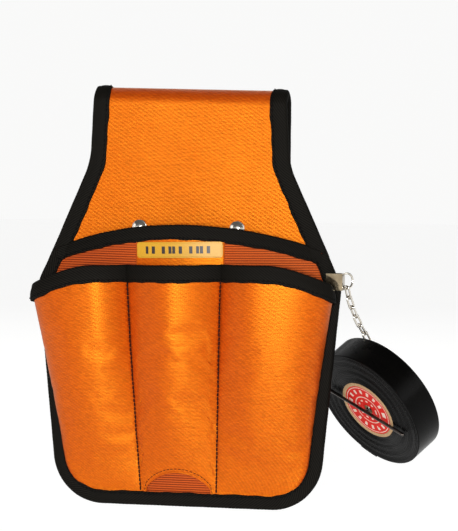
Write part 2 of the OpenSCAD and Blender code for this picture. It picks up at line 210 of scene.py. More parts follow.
# ---- canvas panel ----
# One long piece of orange canvas: it faces the panel from the bottom edge up, folds over at the
# top and comes down behind as the belt loop, where its hem is riveted. A board stiffens it.
POUCH_H = 250.0
PANEL_T = 3.2
CANVAS_T = 1.0
LINING_T = 0.8
TUNNEL = 10.0
BACK_Y = -TUNNEL / 2
FRONT_Y = BACK_Y - PANEL_T
FOLD_Z = -TUNNEL / 2
BOTTOM_Z = PANEL_T - POUCH_H
NECK_Z = BOTTOM_Z + 205
HIP_Z = BOTTOM_Z + 133
FLAP_HALF = 58.0
NECK_HALF = 60.0
HIP_HALF = 92.0
FOOT_HALF = 79.0
LOOP_END_Z = FOLD_Z - 58
HEM_Z = LOOP_END_Z - 12
HEM_H = 20.0
BIND_W = 9.0
LOW_BIND_W = 7.5
BIND_IN = BOTTOM_Z + LOW_BIND_W
PANEL_STEP = 1.5
PANEL_COLS = 61


def unit(v):
    v = np.asarray(v, float)
    return v / np.maximum(np.linalg.norm(v, axis=-1, keepdims=True), 1e-9)


def corner_arc(a, b, c, radius, count=16):
    """Points of the arc that rounds corner b between a and c."""
    a, b, c = (np.array(p, float) for p in (a, b, c))
    u, v = unit(a - b), unit(c - b)
    half = math.acos(float(u @ v)) / 2
    middle = b + unit(u + v) * radius / math.sin(half)
    start = b + u * radius / math.tan(half) - middle
    stop = b + v * radius / math.tan(half) - middle
    side = math.copysign(1, start[0] * stop[1] - start[1] * stop[0])
    turns = [side * (math.pi - 2 * half) * i / count for i in range(count + 1)]
    return [middle + (start[0] * math.cos(t) - start[1] * math.sin(t),
                      start[0] * math.sin(t) + start[1] * math.cos(t)) for t in turns]


def distances(points):
    """How far along the polyline each of its points lies."""
    return np.concatenate([[0], np.cumsum(np.linalg.norm(np.diff(points, axis=0), axis=1))])


def along(points, step=None, count=None, places=None):
    """The polyline resampled evenly along its length, or at the given shares of it."""
    points = np.asarray(points, float)
    run = distances(points)
    if places is None:
        count = count or max(2, int(round(run[-1] / step)) + 1)
        places = np.linspace(0, 1, count)
    places = np.asarray(places) * run[-1]
    return np.stack([np.interp(places, run, points[:, k]) for k in range(points.shape[1])], 1)


def as_points(*values):
    """The numbers, spread to one shape, put together as points."""
    return np.stack(np.broadcast_arrays(*values), -1)


def eased(points, passes):
    """The polyline with its corners relaxed, as cloth relaxes them. The ends stay."""
    points = points.copy()
    for _ in range(passes):
        points[1:-1] = (points[:-2] + 2 * points[1:-1] + points[2:]) / 4
    return points


top_pt, neck_pt = (FLAP_HALF, FOLD_Z), (NECK_HALF, NECK_Z)
hip_pt, foot_pt = (HIP_HALF, HIP_Z), (FOOT_HALF, BOTTOM_Z)
right_line = [top_pt, *corner_arc(top_pt, neck_pt, hip_pt, 45), *corner_arc(neck_pt, hip_pt, foot_pt, 14),
              *corner_arc(hip_pt, foot_pt, (0, BOTTOM_Z), 30, 24), (0, BOTTOM_Z)]
right_line = along(right_line, step=0.5)
side_part = right_line[: int(np.argmin(right_line[:, 1])) + 1][::-1]


def half_at(z):
    return np.interp(z, side_part[:, 1], side_part[:, 0])


def ease(t):
    t = np.clip(t, 0, 1)
    return t * t * (3 - 2 * t)


def settle(points):
    """How the sewn flap has settled: its fold leans to one side and its face waves a little."""
    points = np.array(points, float)
    x, z = points[..., 0], points[..., 2]
    high = ease((z + 95) / 75)
    points[..., 2] -= high * 0.020 * x
    points[..., 1] += high * 0.7 * np.sin(x / 26 + 0.6) * np.sin(z / 31 + 1.0)
    return points


def loop_run(step):
    """The canvas's outer face from the bottom edge, over the fold, to the hem: depth and height."""
    front = [(FRONT_Y, BOTTOM_Z + 0.3), (FRONT_Y, FOLD_Z)]
    radius = TUNNEL / 2 + PANEL_T
    over = []
    for a in np.linspace(math.pi, 0, 37)[1:]:
        pressed = radius - (1.15 if a > math.pi / 2 else 0.4) * abs(math.sin(2 * a))
        over.append((pressed * math.cos(a), FOLD_Z + pressed * math.sin(a)))
    rear = [(radius, LOOP_END_Z), (BACK_Y + PANEL_T, HEM_Z), (BACK_Y + PANEL_T, HEM_Z - HEM_H + 0.6)]
    line = along(front + over + rear, step)
    tail = int(np.argmax(line[:, 1])) + int(30 / step)
    line[tail:] = eased(line[tail:], int(20 / step))
    return line


def run_normals(line):
    ahead = unit(np.gradient(line, axis=0))
    return np.stack([-ahead[:, 1], ahead[:, 0]], 1)


def grid_part(points, uv, flip=False):
    """Vertices, faces and UVs of an open grid of points."""
    rows, cols = points.shape[:2]
    index = np.arange(rows * cols).reshape(rows, cols)
    faces = np.stack([index[:-1, :-1], index[1:, :-1], index[1:, 1:], index[:-1, 1:]], -1).reshape(-1, 4)
    if flip:
        faces = faces[:, ::-1]
    return points.reshape(-1, 3), faces.tolist(), uv.reshape(-1, 2)


def surface_normals(points):
    across = np.gradient(points, axis=1)
    up = np.gradient(points, axis=0)
    return unit(np.cross(across, up))


def slab_part(points, thickness, uv):
    """A sheet of cloth: the grid is its front face and its back lies behind it."""
    rows, cols = points.shape[:2]
    back = points - surface_normals(points) * thickness
    size = rows * cols
    index = np.arange(size).reshape(rows, cols)
    faces = grid_part(points, uv)[1] + (np.array(grid_part(points, uv, True)[1]) + size).tolist()
    rim = np.concatenate([index[0, :], index[1:, -1], index[-1, -2::-1], index[-2:0:-1, 0]])
    after = np.roll(rim, -1)
    faces += np.stack([rim, after, after + size, rim + size], -1).tolist()
    verts = np.concatenate([points.reshape(-1, 3), back.reshape(-1, 3)])
    return verts, faces, np.concatenate([uv.reshape(-1, 2)] * 2)


def piece(name, parts, finish, body, replaced=()):
    """One object from several parts, in place on its body."""
    verts, faces, uvs, start = [], [], [], 0
    for part_verts, part_faces, part_uv in parts:
        verts.append(part_verts)
        uvs.append(part_uv)
        faces += [[i + start for i in face] for face in part_faces]
        start += len(part_verts)
    mesh = bpy.data.meshes.new(name)
    mesh.from_pydata((np.concatenate(verts) * MM).tolist(), [], faces)
    layer = mesh.uv_layers.new(name="mm")
    at = np.zeros(len(mesh.loops), int)
    mesh.loops.foreach_get("vertex_index", at)
    layer.data.foreach_set("uv", np.concatenate(uvs)[at].astype(np.float32).ravel())
    work = bmesh.new()
    work.from_mesh(mesh)
    bmesh.ops.recalc_face_normals(work, faces=work.faces)
    work.to_mesh(mesh)
    work.free()
    mesh.shade_smooth()
    mesh.materials.append(finish)
    made = bpy.data.objects.new(name, mesh)
    scene.collection.objects.link(made)
    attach(made, body)
    if replaced:
        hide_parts(*replaced)
    return made


def refinish(name, finish):
    """Gives a solid that is kept as it is this finish."""
    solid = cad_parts[name]
    solid.data.materials.clear()
    solid.data.materials.append(finish)
    return solid


def maths(tree, operation, a, b=0.0, c=0.0):
    return node(tree, "Math", a, b, c, operation=operation)


def times(tree, a, b):
    return maths(tree, "MULTIPLY", a, b)


def scaled(tree, a, b, c):
    """One value times the second, plus the third."""
    return maths(tree, "MULTIPLY_ADD", a, b, c)


def cloth_place(tree):
    """A piece's own place in millimetres, as a pair and as its two numbers."""
    flat = node(tree, "UVMap", uv_map="mm")
    x_mm, y_mm, _ = separate(tree, flat)
    return flat, x_mm, y_mm


def weave(tree, warp, weft):
    """The height of a fine twill weave with these thread pitches, in millimetres of the cloth."""
    flat, x_mm, y_mm = cloth_place(tree)
    wobble = times(tree, maths(tree, "SUBTRACT", noise(tree, flat, 0.16), 0.5), 1.1)
    a = maths(tree, "DIVIDE", maths(tree, "ADD", x_mm, wobble), warp)
    b = maths(tree, "DIVIDE", maths(tree, "ADD", y_mm, wobble), weft)

    def thread(across, ahead, dip, level):
        """A round thread that dips under every third one that crosses it."""
        off = maths(tree, "SUBTRACT", times(tree, maths(tree, "FRACT", across), 2.0), 1.0)
        arch = maths(tree, "SUBTRACT", 1.0, times(tree, off, off))
        turn = maths(tree, "ADD", ahead, maths(tree, "FLOOR", across))
        over = maths(tree, "SINE", times(tree, turn, math.tau / 3))
        lift = scaled(tree, over, dip, level)
        return times(tree, maths(tree, "SQRT", maths(tree, "MAXIMUM", arch, 0.0)), lift)

    warps = thread(a, maths(tree, "SUBTRACT", b, 0.5), 0.34, 0.42)
    wefts = thread(b, maths(tree, "ADD", a, 0.5), 0.16, 0.82)
    cell = tree.nodes.new("ShaderNodeCombineXYZ")
    tree.links.new(maths(tree, "FLOOR", times(tree, a, 0.5)), cell.inputs[0])
    tree.links.new(maths(tree, "FLOOR", b), cell.inputs[1])
    each = node(tree, "TexWhiteNoise", cell.outputs[0], noise_dimensions="2D")
    return flat, maths(tree, "MAXIMUM", warps, wefts), each


orange_canvas = material("orange_canvas", Sheen_Weight=0.04, Sheen_Roughness=0.5,
                         Sheen_Tint=(1.0, 0.4, 0.1, 1), IOR=1.82, Specular_IOR_Level=1.0,
                         Specular_Tint=(1.0, 0.40, 0.025, 1))
tree = orange_canvas.node_tree
flat, height, each = weave(tree, 1.15, 0.8)
fuzz = noise(tree, flat, 1.9, 2.0)
lifted = scaled(tree, noise(tree, flat, 0.07, 4.0), 0.08, -0.04)
lifted = maths(tree, "ADD", lifted, times(tree, height, 0.75))
lifted = scaled(tree, each, 0.22, lifted)
lifted = scaled(tree, fuzz, 0.16, maths(tree, "SUBTRACT", lifted, 0.10))
# The colour follows the weave's height: the low stop is painted shade in the gaps between threads, the top
# stop is a painted highlight on the thread crowns, and the noises add random tone.
colour = ramp(tree, lifted, (0.25, (0.14, 0.006, 0.0003)), (0.62, (0.33, 0.027, 0.0007)),
              (1.0, (0.47, 0.068, 0.0025)))
rough = scaled(tree, fuzz, 0.12, 0.40)
finish_material(orange_canvas, colour, rough, height, depth=0.00022, strength=0.75)

black_lining = material("black_lining", Roughness=0.8, Sheen_Weight=0.15, Sheen_Roughness=0.5)
tree = black_lining.node_tree
height = weave(tree, 0.7, 0.7)[1]
# Darker in the weave's gaps and paler on the threads: painted shade that follows the weave's height.
finish_material(black_lining, ramp(tree, height, (0.2, (0.003, 0.003, 0.003)), (0.9, (0.016, 0.016, 0.015))),
                None, height, depth=0.00012)

line = loop_run(PANEL_STEP)
normals = run_normals(line)
heights = np.where(np.arange(len(line)) <= int(np.argmax(line[:, 1])), line[:, 1], FOLD_Z)
halves = half_at(np.minimum(heights, FOLD_Z)) - 0.3
across = np.outer(halves, np.linspace(-1, 1, PANEL_COLS))
run_mm = np.arange(len(line)) * PANEL_STEP


def panel_sheet(depth):
    """A grid over the whole run, this far inside the outer face of the canvas."""
    y = line[:, :1] - normals[:, :1] * depth
    z = line[:, 1:] - normals[:, 1:] * depth
    rows = as_points(across, y, z)
    rows[..., 1] += 0.10 * np.sin(rows[..., 0] / 7.3 + rows[..., 2] / 11) * np.sin(rows[..., 2] / 8.1)
    return settle(rows)


run_uv = as_points(across, run_mm[:, None])
canvas_panel = piece("canvas_panel", [slab_part(panel_sheet(0), CANVAS_T, run_uv)], orange_canvas,
                     "pouch", ["back_canvas", "belt_loop"])
lining_grid = panel_sheet(PANEL_T - LINING_T)
panel_lining = piece("panel_lining", [slab_part(lining_grid, LINING_T, run_uv)], black_lining,
                     "pouch", ["back_lining"])

board = material("board", Roughness=0.7)
tree = board.node_tree
pulp = noise(tree, object_place(tree), 300.0)
finish_material(board, mottle(tree, pulp, (0.28, 0.20, 0.12), (0.36, 0.27, 0.17)))
refinish("stiffener_board", board)

# ---- rivets ----
# Two nickel-plated rivets hold the loop's hem to the panel: a domed cap with a rolled rim in
# front, and a flat washer over the clenched post behind.
RIVET_X = 30.0
RIVET_Z = HEM_Z - HEM_H / 2 + TUNNEL / 2


def square_to(axis):
    """Two directions square to an axis and to each other."""
    side = unit(np.cross(axis, (0.31, 0.17, 0.94)))
    return side, np.cross(axis, side)


def ring_faces(count, sides):
    """The faces between closed rings of points that follow one another."""
    index = np.arange(count * sides).reshape(count, sides)
    turned = np.roll(index, -1, axis=1)
    return np.stack([index[:-1], turned[:-1], turned[1:], index[1:]], -1).reshape(-1, 4).tolist()


def lathe_part(profile, centre, axis, count):
    """A turned solid: the profile gives radius and height along the axis."""
    profile = np.asarray(profile, float)
    axis = unit(axis)
    side, other = square_to(axis)
    turns = np.linspace(0, 2 * math.pi, count, endpoint=False)
    ring = np.outer(np.cos(turns), side) + np.outer(np.sin(turns), other)
    points = (np.asarray(centre, float) + profile[:, None, :1] * ring[None]
              + profile[:, None, 1:] * axis[None, None])
    uv = as_points(profile[:, :1] + 0 * turns, profile[:, 1:])
    return points.reshape(-1, 3), ring_faces(len(profile), count), uv.reshape(-1, 2)


def soften_edges(made, angle):
    """Keeps the edges that turn sharply crisp and shades the rest smooth."""
    made.data.set_sharp_from_angle(angle=math.radians(angle))
    return made


nickel = material("nickel", Metallic=1.0)
tree = nickel.node_tree
smear = noise(tree, object_place(tree), 420.0, 4.0)
drawn = node(tree, "Mapping", object_place(tree), None, (0.0, 0.6, 0.0), (900.0, 80.0, 900.0))
scratch = noise(tree, drawn, 1.0)
finish_material(nickel, mottle(tree, smear, (0.62, 0.57, 0.49), (0.78, 0.75, 0.69)),
                scaled(tree, scratch, 0.16, 0.10), scratch, depth=0.000006, strength=0.3)

cap = [(0.01, 2.15), (0.8, 2.12), (1.7, 1.95), (2.6, 1.6), (3.3, 1.15), (3.75, 0.75), (4.0, 0.62),
       (4.3, 0.60), (4.5, 0.42), (4.55, 0.2), (4.5, 0.0), (0.01, 0.0)]
washer = [(0.01, 1.15), (1.0, 1.1), (1.5, 0.85), (1.75, 0.55), (2.4, 0.42), (3.9, 0.5), (4.3, 0.4),
          (4.5, 0.15), (4.5, 0.0), (0.01, 0.0)]
for name, profile, y, facing, replaced in (
        ("rivet_domes", cap, FRONT_Y - 0.1, -1, "rivet_caps"),
        ("rivet_washers", washer, BACK_Y + PANEL_T + 0.1, 1, "rivet_posts")):
    places = settle([(side * RIVET_X, y, RIVET_Z) for side in (-1, 1)])
    turned = [lathe_part(profile, place, (0, facing, 0), 48) for place in places]
    soften_edges(piece(name, turned, nickel, "pouch", [replaced]), 50)

# ---- middle pocket ----
# Ribbed orange webbing cloth sewn flat on the panel and bowed forward at its rim. Its ribs run
# across, and a plain patch is sewn on under the label.
MID_RIM = 169.0
MID_DROOP = 19.0
MID_BULGE = 20.0
MID_COLS = 71
MID_ROWS = 560
RIB = 1.4
LOW_IN = 0.8
SIDE_IN = 0.7
RIM_IN = 1.4


def rise(z, rim):
    return np.sin(math.pi / 2 * np.clip((z - BIND_IN) / (BOTTOM_Z + rim - BIND_IN), 0, 1))


def inner_half(z):
    return half_at(z) - LOW_BIND_W - 0.5


def mid_depth(x, z):
    return MID_BULGE * rise(z, MID_RIM) * np.cos(math.pi / 2 * np.minimum(1, np.abs(x) / inner_half(z)))


def mid_face(x, z, off=0.0):
    """Points on the front face of the middle pocket's cloth, moved off it."""
    x, z = np.broadcast_arrays(np.asarray(x, float), np.asarray(z, float))
    e = 0.5
    slope_x = (mid_depth(x + e, z) - mid_depth(x - e, z)) / 2 / e
    slope_z = (mid_depth(x, z + e) - mid_depth(x, z - e)) / 2 / e
    normal = unit(as_points(-slope_x, -1.0, -slope_z))
    base = as_points(x, FRONT_Y - 0.1 - mid_depth(x, z), z)
    return base + normal * (CANVAS_T + off), normal


def mid_rim_z(x):
    return BOTTOM_Z + MID_RIM - MID_DROOP * (x / HIP_HALF) ** 2


def twisted(tree, x_mm, y_mm, a, b):
    """The slanting ridges of a twisted thread."""
    return maths(tree, "SINE", scaled(tree, x_mm, a, times(tree, y_mm, b)))


rows = np.linspace(0, 1, MID_ROWS)
side_z = BOTTOM_Z + LOW_IN + rows * (MID_RIM - MID_DROOP - LOW_IN)
x = np.outer(half_at(side_z) - SIDE_IN, np.linspace(-1, 1, MID_COLS))
z = BOTTOM_Z + LOW_IN + rows[:, None] * (mid_rim_z(x) - RIM_IN - BOTTOM_Z - LOW_IN)
points, normal = mid_face(x, z)
rib = np.abs(np.cos(math.pi * (z + 0.10 * np.sin(x / 9)) / RIB)) ** 0.8
points -= normal * (0.42 * (1 - rib))[..., None]

rib_cloth = material("rib_cloth", Sheen_Weight=0.04, Sheen_Roughness=0.5, Sheen_Tint=(1.0, 0.5, 0.2, 1),
                     Specular_IOR_Level=0.3, Specular_Tint=(1.0, 0.55, 0.2, 1))
tree = rib_cloth.node_tree
flat, x_mm, y_mm = cloth_place(tree)
# The ribs' colour follows their beat: darker in the grooves between ribs and paler on their tops, painted
# shade and painted highlight. A noise adds random tone.
beat = maths(tree, "ABSOLUTE", maths(tree, "COSINE", times(tree, y_mm, math.pi / RIB)))
shade = maths(tree, "ADD", beat, scaled(tree, noise(tree, flat, 1.3), 0.5, -0.25))
colour = ramp(tree, shade, (0.15, (0.07, 0.004, 0.001)), (0.6, (0.24, 0.022, 0.003)),
              (1.0, (0.38, 0.062, 0.008)))
finish_material(rib_cloth, colour, None, twisted(tree, x_mm, y_mm, 7.0, 4.0), depth=0.00010, strength=0.6)
middle_pocket = piece("ribbed_pocket", [slab_part(points, 0.8, as_points(x, z))], rib_cloth,
                      "pouch", ["middle_pocket"])

px, pz = np.meshgrid(np.linspace(-27.0, 26.0, 54), np.linspace(-26.5, -6.0, 22))
patch, _ = mid_face(px, BOTTOM_Z + MID_RIM + pz, 0.75)
label_patch = piece("label_patch", [slab_part(patch, 0.7, as_points(px, pz))], orange_canvas,
                    "pouch")

# ---- label ----
# A moulded yellow label with a raised border, sewn on below the middle rim. It carries plain
# printed bars instead of a name.
LABEL_W = 51.0
LABEL_H = 9.5
LABEL_R = 1.6
LABEL_TILT = math.radians(1.2)
LABEL_POINTS = 144
LABEL_FACE = 1.45
label_x, label_z = -0.5, BOTTOM_Z + MID_RIM - 10.0 - LABEL_H / 2


def label_outline(inset):
    """The label's rounded outline moved inwards, with points all round it."""
    r = LABEL_R - inset
    pts = []
    for cx, cy, start in ((1, 1, 0), (-1, 1, 90), (-1, -1, 180), (1, -1, 270)):
        for k in range(12):
            a = math.radians(start + k * 90 / 11)
            pts.append((cx * (LABEL_W / 2 - LABEL_R) + r * math.cos(a),
                        cy * (LABEL_H / 2 - LABEL_R) + r * math.sin(a)))
    pts.append(pts[0])
    return along(pts, count=LABEL_POINTS + 1)[:-1]


def on_label(outline, off):
    c, s = math.cos(LABEL_TILT), math.sin(LABEL_TILT)
    x = label_x + outline[..., 0] * c - outline[..., 1] * s
    z = label_z + outline[..., 0] * s + outline[..., 1] * c
    return mid_face(x, z, off)[0]


levels = ((0.0, 0.80), (0.0, 1.40), (0.15, 1.62), (0.75, 1.62), (0.9, LABEL_FACE), (1.3, LABEL_FACE))
outlines = [(label_outline(inset), off) for inset, off in levels]
for share in np.linspace(0, 1, 10)[1:]:
    outlines.append((label_outline(1.3) * (1, 1 - share), LABEL_FACE))
label_verts = np.concatenate([on_label(outline, off) for outline, off in outlines])
label_uv = np.concatenate([outline for outline, _ in outlines])
label_faces = ring_faces(len(outlines), LABEL_POINTS)
label_faces.append(list(range(LABEL_POINTS))[::-1])

gold = material("label_yellow", Roughness=0.42, Specular_IOR_Level=0.25)
tree = gold.node_tree
flat, x_mm, y_mm = cloth_place(tree)
grain = noise(tree, flat, 2.2, 4.0)
colour = mottle(tree, grain, (0.35, 0.175, 0.006), (0.44, 0.23, 0.010))
bar_wave = maths(tree, "ADD", maths(tree, "SINE", times(tree, x_mm, 1.15)),
                 maths(tree, "SINE", times(tree, x_mm, 1.93)))
bars = maths(tree, "GREATER_THAN", bar_wave, 0.05)
inside_x = maths(tree, "LESS_THAN", maths(tree, "ABSOLUTE", x_mm), 20.4)
inside_z = maths(tree, "LESS_THAN", maths(tree, "ABSOLUTE", y_mm), 2.15)
ink = times(tree, bars, times(tree, inside_x, inside_z))
mixed = node(tree, "MixRGB", ink, colour, (0.020, 0.012, 0.010, 1))
finish_material(gold, mixed, None, grain, depth=0.00003, strength=0.5)
label = piece("name_label", [(label_verts, label_faces, label_uv)], gold, "pouch", ["label"])
soften_edges(label, 40)

# ---- front pocket ----
# One piece of canvas sewn down along both sides and in two lines that make three channels. The
# outer channels stand out past the edge binding, and the cloth puckers where thread holds it.
FRONT_RIM = 146.0
FRONT_DROOP = 11.0
SIDE_RIM = FRONT_RIM - FRONT_DROOP
SIDE_BULGE = 19.0
CENTRE_BULGE = 11.0
LEFT_CREST_X = -60.0
RIGHT_CREST_X = 54.0
FRONT_ROWS = 58
SIDE_COLS = 30
ARCH_COLS = 25
SEAM_LEFT = (-27.4, -33.4)
SEAM_RIGHT = (18.6, 25.6)
ARCH_X = (SEAM_LEFT[0] + SEAM_RIGHT[0]) / 2
ARCH_W = 42.5
ARCH_H = 13.0
POCKET_Y = FRONT_Y - 0.3 - CANVAS_T


def seam_x(ends, z):
    return ends[0] + (ends[1] - ends[0]) * (z - BOTTOM_Z) / FRONT_RIM


def front_rim_z(x):
    fall = 15 * ease((-x - 46) / 38) + 15 * ease((x - 46) / 40)
    return BOTTOM_Z + FRONT_RIM - 0.02 * np.maximum(0, 25 - x) - fall


def arch_z(x):
    s = np.abs(x - ARCH_X) * 2 / ARCH_W
    return np.where(s < 1, BIND_IN + ARCH_H * np.clip(1 - s * s, 0, 1) ** 0.7, BOTTOM_Z + LOW_IN)


def bent(*handles):
    """A smooth bend from the first point to the last, pulled by the two between them."""
    t = np.linspace(0, 1, 24)[:, None]
    p0, p1, p2, p3 = (np.array(p, float) for p in handles)
    return (1 - t) ** 3 * p0 + 3 * (1 - t) ** 2 * t * p1 + 3 * (1 - t) * t ** 2 * p2 + t ** 3 * p3


def side_section(edge, seam, crest, over, shares):
    """Plan of an outer channel from its sewn edge to its seam, leaning out past the edge."""
    out = math.copysign(1, edge[0] - seam[0])
    middle = (edge[0] + (seam[0] - edge[0]) * 0.57, crest)
    depth = edge[1] - crest
    first = bent(edge, (edge[0] + out * over * 2.5, edge[1] - 0.62 * depth),
                 (middle[0] + (edge[0] - middle[0]) * 0.86, crest), middle)
    second = bent(middle, (middle[0] + (seam[0] - middle[0]) * 0.44, crest),
                  (seam[0] - (seam[0] - middle[0]) * 0.20, seam[1] + 0.42 * (crest - seam[1])), seam)
    return along(np.concatenate([first, second[1:]]), places=shares)


def centre_section(left, right, crest, shares):
    middle = ((left[0] + right[0]) / 2, crest)
    first = bent(left, (left[0] + 5, left[1] + 0.42 * (crest - left[1])), (middle[0] - 9, crest), middle)
    second = bent(middle, (middle[0] + 9, crest), (right[0] - 5, right[1] + 0.42 * (crest - right[1])), right)
    return along(np.concatenate([first, second[1:]]), places=shares)


side_shares = np.linspace(0, 1, SIDE_COLS + 1)
low_l, low_r = SEAM_LEFT[0], SEAM_RIGHT[0]
arch_low, arch_high = ((ARCH_X + side * ARCH_W / 2 - low_l) / (low_r - low_l) for side in (-1, 1))
arch_turn = (1 - np.cos(np.linspace(0, math.pi, ARCH_COLS))) / 2
arch_turn = 0.6 * arch_turn + 0.4 * np.linspace(0, 1, ARCH_COLS)
centre_shares = np.concatenate([[0], arch_low + (arch_high - arch_low) * arch_turn, [1]])
left_col = 2 + SIDE_COLS
right_col = left_col + len(centre_shares) - 1


def front_row(t):
    """One row of the front pocket's cloth, from the bottom, 0, to the rim, 1."""
    z = BOTTOM_Z + LOW_IN + t * (SIDE_RIM - LOW_IN)
    w, v = float(half_at(z)) - SIDE_IN, float(inner_half(z))
    lx, rx = seam_x(SEAM_LEFT, z), seam_x(SEAM_RIGHT, z)
    r = float(rise(z, SIDE_RIM))
    over = 8.8 * t ** 1.4
    base = POCKET_Y

    def depth_at(x, bulge=0.0):
        """The cloth's depth where it is sewn down, or bulges over the middle pocket."""
        return base - bulge * r - float(mid_depth(x, z))

    left_seam, right_seam = (lx, depth_at(lx)), (rx, depth_at(rx))
    left = side_section((-v, base), left_seam, depth_at(LEFT_CREST_X, SIDE_BULGE), over, side_shares)
    centre = centre_section(left_seam, right_seam, depth_at(ARCH_X, CENTRE_BULGE), centre_shares)
    right = side_section((v, base), right_seam, depth_at(RIGHT_CREST_X, SIDE_BULGE), over * 0.75, side_shares)
    plan = np.concatenate([[(-w, base), (-(w + v) / 2, base)], left, centre[1:], right[-2::-1],
                           [((w + v) / 2, base), (w, base)]])
    nominal = np.concatenate([[-w, -(w + v) / 2], -v + (lx + v) * side_shares,
                              lx + (rx - lx) * centre_shares[1:], rx + (v - rx) * side_shares[1:],
                              [(w + v) / 2, w]])
    filled = np.concatenate([[0, 0], side_shares, centre_shares[1:], side_shares[1:], [0, 0]])
    bulge = np.where((nominal > lx) & (nominal < rx), CENTRE_BULGE, SIDE_BULGE)
    return plan, nominal, z, np.sin(math.pi * filled) ** 0.6 * bulge


def front_cloth():
    rows = []
    for i in range(FRONT_ROWS + 1):
        t = i / FRONT_ROWS
        plan, nominal, z_row, filled = front_row(t)
        low = arch_z(nominal)
        z = low + t * (front_rim_z(nominal) - RIM_IN - low)
        more = mid_depth(nominal, z) - mid_depth(nominal, z_row)
        more += filled * (rise(np.minimum(z, BOTTOM_Z + SIDE_RIM), SIDE_RIM) - rise(z_row, SIDE_RIM))
        rows.append(as_points(plan[:, 0], plan[:, 1] - more, z))
    return np.stack(rows)


cloth = front_cloth()
uv_x = distances(cloth[FRONT_ROWS * 2 // 3])
front_uv = as_points(uv_x[None], cloth[..., 2])


def press_out(grid):
    """Fills the channels by a short cloth simulation; the sewn lines and the rim are held."""
    rows, cols = grid.shape[:2]
    verts, faces, _ = grid_part(grid, np.zeros((rows, cols, 2)))
    mesh = bpy.data.meshes.new("pocket_trial")
    mesh.from_pydata((verts * MM).tolist(), [], faces)
    trial = bpy.data.objects.new("pocket_trial", mesh)
    scene.collection.objects.link(trial)
    held = trial.vertex_groups.new(name="held")
    index = np.arange(rows * cols).reshape(rows, cols)
    sewn = set(index[:2].ravel()) | set(index[-1]) | set(index[-2]) | set(index[-3])
    for col in (0, 1, 2, left_col, right_col, cols - 3, cols - 2, cols - 1):
        sewn |= set(index[:, col])
    held.add([int(i) for i in sewn], 1.0, "REPLACE")
    cloth_mod = trial.modifiers.new("cloth", "CLOTH")
    settings = cloth_mod.settings
    settings.quality = 6
    settings.mass = 0.25
    settings.tension_stiffness = 18
    settings.compression_stiffness = 18
    settings.shear_stiffness = 8
    settings.bending_stiffness = 4
    settings.air_damping = 4
    settings.vertex_group_mass = "held"
    settings.use_pressure = True
    settings.uniform_pressure_force = 0.22
    settings.shrink_min = -0.012
    settings.effector_weights.gravity = 0
    cloth_mod.point_cache.frame_start = 1
    cloth_mod.point_cache.frame_end = 24
    for tick in range(1, 23):
        scene.frame_set(tick)
    seen = trial.evaluated_get(bpy.context.evaluated_depsgraph_get())
    moved = np.zeros(rows * cols * 3)
    seen.data.vertices.foreach_get("co", moved)
    moved = moved.reshape(rows, cols, 3) / MM
    bpy.data.objects.remove(trial)
    bpy.data.meshes.remove(mesh)
    scene.frame_set(1)
    shift = moved - grid
    size = np.linalg.norm(shift, axis=-1, keepdims=True)
    share, most_mm = 0.45, 1.6
    row = np.arange(rows)
    calm = ease((row - 4) / 12) * ease((rows - 7 - row) / 16)
    return grid + shift * np.minimum(share, most_mm / np.maximum(size, 1e-6)) * calm[:, None, None]


def refined(grid):
    """The grid with a point added between every two, on a smooth curve through them."""
    for axis in (0, 1):
        g = np.moveaxis(grid, axis, 0)
        wide = np.concatenate([2 * g[:1] - g[1:2], g, 2 * g[-1:] - g[-2:-1]])
        between = (-wide[:-3] + 9 * wide[1:-2] + 9 * wide[2:-1] - wide[3:]) / 16
        out = np.empty((2 * len(g) - 1, *g.shape[1:]))
        out[::2] = g
        out[1::2] = between
        grid = np.moveaxis(out, 0, axis)
    return grid


cloth = press_out(cloth)
fine = refined(cloth)
fine_uv = refined(front_uv)
pocket_normals = surface_normals(fine)
front_face = fine + pocket_normals * CANVAS_T
front_pocket = piece("channel_pocket", [slab_part(front_face, CANVAS_T, fine_uv)], orange_canvas, "pouch",
                     ["front_pocket"])

# ---- edge and rim bindings ----
# Black twill tape folded over every raw edge and sewn through near its inner edge. It is thick
# and soft, so it swells beside its stitching, and the twill shows as slanting ridges.
TAPE_T = 1.25
TWILL = 1.25
TWILL_RISE = 0.13
TWILL_ALONG = 0.57
TWILL_ROUND = 0.82


def tape_section(width, back, front, thick):
    """The folded tape's section: depth off the cloth's face, and reach past its edge."""
    def face(level, side):
        s = np.linspace(0, 1, 19)
        swell = thick * (0.62 + 0.38 * np.sin(math.pi * np.clip(s * 1.25 - 0.12, 0, 1)) ** 0.8)
        swell[0] = 0.12
        return np.stack([level + side * swell, -width + s * (width - 0.6)], 1)

    up = face(front, 1)
    down = face(back, -1)[::-1]
    mid, half = (up[-1, 0] + down[0, 0]) / 2, (up[-1, 0] - down[0, 0]) / 2
    turns = np.linspace(0, math.pi, 11)[1:-1]
    crown = np.stack([mid + half * np.cos(turns), -0.6 + (thick + 0.6) * np.sin(turns) ** 0.9], 1)
    inside = np.array([(back + 0.05, -width + 0.2), (back + 0.05, -1.0), (front - 0.05, -1.0),
                       (front - 0.05, -width + 0.2)])
    outer = np.concatenate([up, crown, down])
    return outer, inside


def tube_part(rings, uv):
    """A closed bar through rings of points, with its two ends filled."""
    count, sides = rings.shape[:2]
    first, last = list(range(sides)), list(range((count - 1) * sides, count * sides))
    return rings.reshape(-1, 3), ring_faces(count, sides) + [first[::-1], last], uv.reshape(-1, 2)


